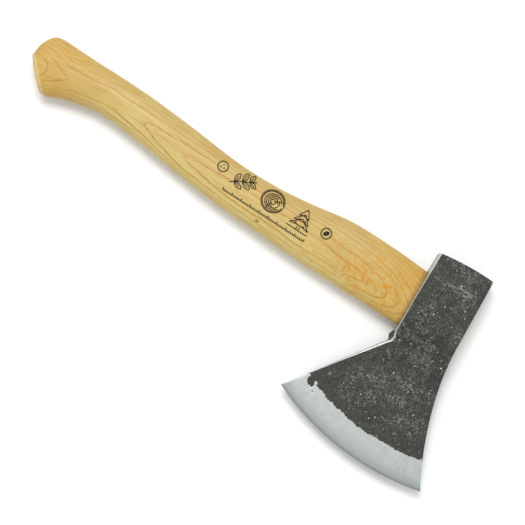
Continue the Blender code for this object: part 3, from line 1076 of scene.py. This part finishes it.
def store_grain(item):
    """Ring count, how densely the rings cross the surface, and coordinates along the grain."""
    points = points_of(item)
    rings = ring_count(points)
    step = 0.2 * MM
    gradient = np.stack([(ring_count(points + offset) - rings) / step
                         for offset in np.eye(3) * step], axis=1)
    normals = normals_of(item)
    gradient -= normals * np.sum(gradient * normals, axis=1, keepdims=True)
    store(item, "rings", rings)
    store(item, "crowding", np.linalg.norm(gradient, axis=1) * MM)
    x, y, z = points.T
    store(item, "grain", np.stack((x, y - knots_at(FIGURE_AXIS, x), z), axis=1) / MM)


def build_handle():
    tongue = eye_rings(TOP - TONGUE_SUNK, UNDERSIDE, FIT)
    handle = add_object("ash_handle", loft(tongue + handle_rings(), capped=True))
    kerf = wedge_slab("kerf_cutter", FIT)
    groove = turned_ring("groove_cutter", ring_profile(FIT, TOP + OVERRUN))
    cut(handle, kerf)
    cut(handle, groove)
    drop(kerf)
    store_grain(handle)
    store_wood_marks_and_painted_light(handle)
    smooth(handle, 35)
    shade_handle(handle)
    finish_piece(handle, "handle")
    return handle, groove


def figured_rings(grain):
    """Thin dark line at the end of each growth ring, and the warm tone that leads up to it."""
    wander = noise_value(grain, (0.030, 0.12, 0.12), 2.0, 0.5)
    jagged = noise_value(grain, (0.22, 0.50, 0.50), 3.0, 0.6)
    rings = sway(sway(read_value(grain, "rings"), wander, 0.45), jagged, 0.34)
    phase = compute("FRACT", rings)
    crowding = compute("MAXIMUM", read_value(grain, "crowding"), 0.05)
    before = compute("DIVIDE", compute("SUBTRACT", 1.0, phase), crowding)
    after = compute("DIVIDE", phase, crowding)
    line = compute("MAXIMUM", spread(before, 0.15, 1.05, 1.0, 0.0),
                   spread(after, 0.0, 0.50, 1.0, 0.0))
    warmth = spread(before, 0.0, 2.6, 1.0, 0.0)
    strength = spread(noise_value(grain, (0.035, 0.16, 0.16), 2.0), 0.34, 0.58, 0.40, 1.0)
    strength = times(strength, spread(crowding, 0.12, 0.42, 1.0, 0.34))
    return times(line, strength), times(warmth, strength)


def curly_share(grain):
    """Orange flame beside the head."""
    flame = noise_value(grain, (0.26, 0.22, 0.22), 4.0, 0.66, 1.1)
    return times(spread(flame, 0.47, 0.62), read_value(grain, "curl"))


def shade_handle(handle):
    shader = new_material(handle, "lacquered_ash")
    grain = read_value(shader, "grain", "Vector")
    line, warmth = figured_rings(grain)
    streaks = noise_value(grain, (0.055, 0.75, 0.75), 3.0, 0.6, 0.3)
    fibres = noise_value(grain, (0.07, 2.0, 2.0), 4.0, 0.6)
    pores = spread(noise_value(grain, (0.20, 3.0, 3.0), 1.0), 0.68, 0.78)
    color = layered(
        ramp(noise_value(grain, (0.016, 0.10, 0.10), 3.0), ASH_TONES),
        # Painted light on the belly side, then painted shade on the back side together with the
        # darker wood near the butt.
        (read_value(grain, "painted_belly_light"), PAINTED_LIGHT_ASH),
        (read_value(grain, "dark_butt_and_painted_shade"), BUTT_TONE_AND_PAINTED_SHADE_ASH),
        (read_value(grain, "tint"), WARM_ASH),
        (times(warmth, 0.42), LATE_WOOD),
        (times(line, 0.88), RING_LINE),
        (spread(streaks, 0.52, 0.68, 0.0, 0.60), DARK_STREAK),
        (spread(streaks, 0.30, 0.48, 0.30, 0.0), PALE_STREAK),
        (spread(fibres, 0.50, 0.72, 0.0, 0.40), DARK_FIBRE),
        (spread(fibres, 0.28, 0.50, 0.22, 0.0), PALE_FIBRE),
        (times(pores, 0.40), PORE),
        (curly_share(grain), FLAME),
        # The knot's stain, and painted shade where the handle enters the head.
        (read_value(grain, "knot_stain_and_painted_shade"), KNOT_STAIN_AND_PAINTED_SHADE),
        # Painted highlight along the butt's rim.
        (read_value(grain, "pale"), PAINTED_HIGHLIGHT_WOOD))
    dress(shader, color, spread(fibres, 0.2, 0.8, 0.52, 0.66))
    shader.inputs["Coat Weight"].default_value = 0.08
    shader.inputs["Coat Roughness"].default_value = 0.45
    add_bump(shader, (fibres, 0.00004), (compute("SUBTRACT", 1.0, pores), 0.00005))


def store_wood_marks_and_painted_light(item):
    """Where the wood is warmer, flamed, stained by a knot or darker near the butt, with painted
    light on the belly side, painted shade on the back side and beside the head, and a painted
    highlight along the butt's cut.
    """
    points = points_of(item)
    x, y, z = points.T
    facing = normals_of(item)[:, 1]
    near_head = ease((x + 0.085) / 0.060)
    near_butt = ease((-x - 0.255) / 0.065)
    # Painted light and shade: the belly side is painted paler and the back side darker, by the
    # direction each vertex faces. The darker wood near the butt is the wood's own tone.
    store(item, "painted_belly_light", 0.70 * ease(-facing / 0.45) * (1 - near_butt))
    store(item, "dark_butt_and_painted_shade", np.maximum(0.34 * ease(facing / 0.45), 0.42 * near_butt))
    store(item, "tint", np.maximum(near_head * 0.60, near_butt * 0.55))
    flame = patch_share(points, *FLAME_PATCH)
    store(item, "curl", flame * np.where(z > MID, 1.0, 0.6))
    # Painted shade: the last few millimetres of wood before the head are painted darker.
    contact = ease((x - UNDERSIDE + 0.0035) / 0.0035) * 0.55
    knot = patch_share(points, *KNOT_PATCH) * np.where(z > MID, 1.0, 0.0)
    store(item, "knot_stain_and_painted_shade", np.maximum(contact, np.minimum(knot * 1.2, 1.0)))
    # Painted highlight: a pale band along the rounded rim of the butt's cut.
    back, belly = [Vector((share * -HANDLE_REACH, y)) for share, y in BUTT_STATIONS[-1]]
    normal = Vector((belly.y - back.y, back.x - belly.x)).normalized()
    from_cut = np.abs((x - back.x) * normal.x + (y - back.y) * normal.y)
    store(item, "pale", 0.35 * (1 - ease(from_cut / (1.2 * BUTT_ROUND))))


# ---- ink

def wood_height(bed, spot):
    """Height of the handle's upper face, which the printed strokes follow."""
    return bed.ray_cast(Vector((*spot, 1.0)), Vector((0, 0, -1)))[0].z


def ink_section(bm, bed, left, right, *middle):
    """Four corners across a stroke, just proud of the wood and sunk a little into it."""
    heights = [wood_height(bed, spot) for spot in (left, right, *middle)]
    top = max(heights) + INK_PROUD
    low = min(heights[:2]) - INK_ROOT
    corners = ((left, top), (right, top), (right, low), (left, low))
    return [bm.verts.new((*spot, z)) for spot, z in corners]


def ink_line(bm, bed, path, width):
    """Closed ribbon of ink along a path."""
    rings = []
    for index, spot in enumerate(path):
        ahead = path[min(index + 1, len(path) - 1)] - path[max(index - 1, 0)]
        side = Vector((-ahead.y, ahead.x)).normalized() * width / 2
        rings.append(ink_section(bm, bed, spot + side, spot - side, spot))
    bridge(bm, rings)
    bm.faces.new(rings[0])
    bm.faces.new(rings[-1])


def ink_ring(bm, bed, center, radius, width):
    """Closed ring of ink around a centre."""
    rings = []
    for step in range(INK_CIRCLE_STEPS):
        angle = tau * step / INK_CIRCLE_STEPS
        ray = Vector((cos(angle), sin(angle)))
        rings.append(ink_section(bm, bed, center + ray * (radius + width / 2),
                                 center + ray * (radius - width / 2)))
    bridge(bm, rings + [rings[0]])


def sampled(points, step=INK_STEP):
    """The path through points as short steps, so that it can follow a curved face."""
    path = [points[0]]
    for start, end in zip(points, points[1:]):
        count = max(1, ceil((end - start).length / step))
        path += [start.lerp(end, index / count) for index in range(1, count + 1)]
    return path


def arc(center, radius_x, radius_y, start, end, steps=20):
    """Points of an elliptic arc, angles in degrees."""
    angles = [radians(mix(start, end, step / steps)) for step in range(steps + 1)]
    return [(center[0] + radius_x * cos(angle), center[1] + radius_y * sin(angle))
            for angle in angles]


def leaf_outline(x, y, length, width, angle):
    """Pointed oval from its stalk at x, y, in millimetres."""
    turn = radians(angle)
    points = []
    for step in range(17):
        share = step / 16
        side = 1 if share <= 0.5 else -1
        along = 2 * share if share <= 0.5 else 2 - 2 * share
        out = side * width / 2 * sin(pi * along) ** 0.8
        points.append((x + length * along * cos(turn) - out * sin(turn),
                       y + length * along * sin(turn) + out * cos(turn)))
    return points


def sprig_strokes():
    """A sprig with three pairs of leaves."""
    strokes = [[(-9.0, -5.6), (-5.0, -2.6), (0.0, 0.2), (5.0, 2.6), (8.0, 4.6)]]
    for x, y, length in ((-6.0, -3.4, 7.0), (-1.2, -0.5, 7.4), (3.6, 1.9, 6.0)):
        for angle in (82, -18):
            turn = radians(angle)
            vein = (x + 0.7 * length * cos(turn), y + 0.7 * length * sin(turn))
            strokes += [leaf_outline(x, y, length, 3.2, angle), [(x, y), vein]]
    return strokes


def log_end_strokes():
    """The sawn end of a log: bark, growth rings and two drying cracks."""
    strokes = [arc((0, 0), 8.6, 7.9, 0, 360, 48), arc((0, 0), 7.7, 7.0, 8, 352, 44)]
    for radius, start, end in ((6.1, 30, 330), (4.7, 60, 400), (3.3, 0, 290), (1.9, 80, 420)):
        strokes.append(arc((0.3, -0.2), radius, radius * 0.9, start, end, 36))
    strokes.append([(0.6, 0.2), (3.2, 1.6), (7.4, 2.9)])
    strokes.append([(0.0, -0.8), (-1.6, -3.6), (-2.2, -6.4)])
    return strokes


def fir_strokes():
    """A fir tree on a short trunk, with a line of ground under it."""
    strokes = [[(-0.9, -7.9), (-0.9, -5.6)], [(0.9, -7.9), (0.9, -5.6)],
               [(-8.6, -8.0), (8.4, -8.0)]]
    for low, high, half in ((-5.6, 0.6, 7.6), (-2.0, 4.2, 5.8), (1.8, 8.2, 4.0)):
        strokes.append([(-half, low), (0.0, high), (half, low), (half * 0.34, low + 0.9),
                        (-half * 0.34, low + 0.9), (-half, low)])
    for x, y in ((-3.4, -4.0), (2.8, -4.2), (-2.0, -0.6), (2.2, -0.4), (0.0, 3.4)):
        strokes.append([(x - 0.9, y - 0.5), (x, y + 0.5), (x + 0.9, y - 0.5)])
    return strokes


def print_strokes(bm, bed, strokes, center, width, slope=0.0, step=INK_STEP):
    """Print strokes, in millimetres, around a centre on the handle."""
    turn = radians(slope)
    cosine, sine = cos(turn), sin(turn)
    for stroke in strokes:
        places = [center + Vector((x * cosine - y * sine, x * sine + y * cosine)) * MM
                  for x, y in stroke]
        ink_line(bm, bed, sampled(places, step), width)


def print_seal(bed, name, center, strokes):
    """A double ring with a small figure in it."""
    bm = bmesh.new()
    ink_ring(bm, bed, center, SEAL_RADIUS, INK_FINE)
    ink_ring(bm, bed, center, SEAL_RADIUS * 0.84, INK_FINE * 0.6)
    print_strokes(bm, bed, strokes, center, INK_BOLD, step=SEAL_STEP)
    finish_ink(bm, name)


def print_rule(bed):
    """A row of ticks like a ruler's, every fifth one tall, on a fine base line."""
    bm = bmesh.new()
    along = RULE_END - RULE_START
    across = Vector((-along.y, along.x)).normalized()
    ink_line(bm, bed, sampled([RULE_START, RULE_END]), INK_FINE * 0.7)
    for index in range(RULE_TICKS):
        foot = RULE_START + along * index / (RULE_TICKS - 1)
        tall = RULE_HEIGHT if index % 5 == 0 else RULE_HEIGHT * 0.6
        ink_line(bm, bed, sampled([foot, foot + across * tall]), INK_RULE)
    finish_ink(bm, "print_rule")


def finish_ink(bm, name):
    item = add_object(name, bm)
    shader = new_material(item, "black_ink")
    patchy = noise_value(object_place(shader), 1400.0, 3.0, 0.6)
    dress(shader, ramp(patchy, INK_TONES), spread(patchy, 0.2, 0.8, 0.65, 0.85))
    shader.inputs["Specular IOR Level"].default_value = 0.2
    finish_piece(item)


def build_print(handle):
    bed = BVHTree.FromObject(handle, bpy.context.evaluated_depsgraph_get())
    for name, strokes, center in (("print_sprig", sprig_strokes(), SPRIG_CENTER),
                                  ("print_log_end", log_end_strokes(), LOG_CENTER),
                                  ("print_fir", fir_strokes(), FIR_CENTER)):
        bm = bmesh.new()
        print_strokes(bm, bed, strokes, center, INK_PEN, PRINT_SLOPE)
        finish_ink(bm, name)
    dots = [[(x - 0.4, y), (x + 0.4, y)] for x, y in ((0.0, 1.3), (-1.2, -0.8), (1.2, -0.8))]
    print_seal(bed, "print_left_seal", LEFT_SEAL, dots)
    leaf = [leaf_outline(-1.5, -1.5, 4.2, 2.2, 45), [(-1.2, -1.2), (1.1, 1.1)]]
    print_seal(bed, "print_right_seal", RIGHT_SEAL, leaf)
    print_rule(bed)


# ---- main order


def main():
    build_camera()
    build_light()
    build_floor()
    eye_cutter = add_object("eye_cutter", loft(eye_rings(UNDERSIDE - OVERRUN, TOP + OVERRUN, 0.0)))
    build_head(eye_cutter)
    handle, groove = build_handle()
    build_wedges(groove)
    build_print(handle)
    drop(eye_cutter, groove)


main()
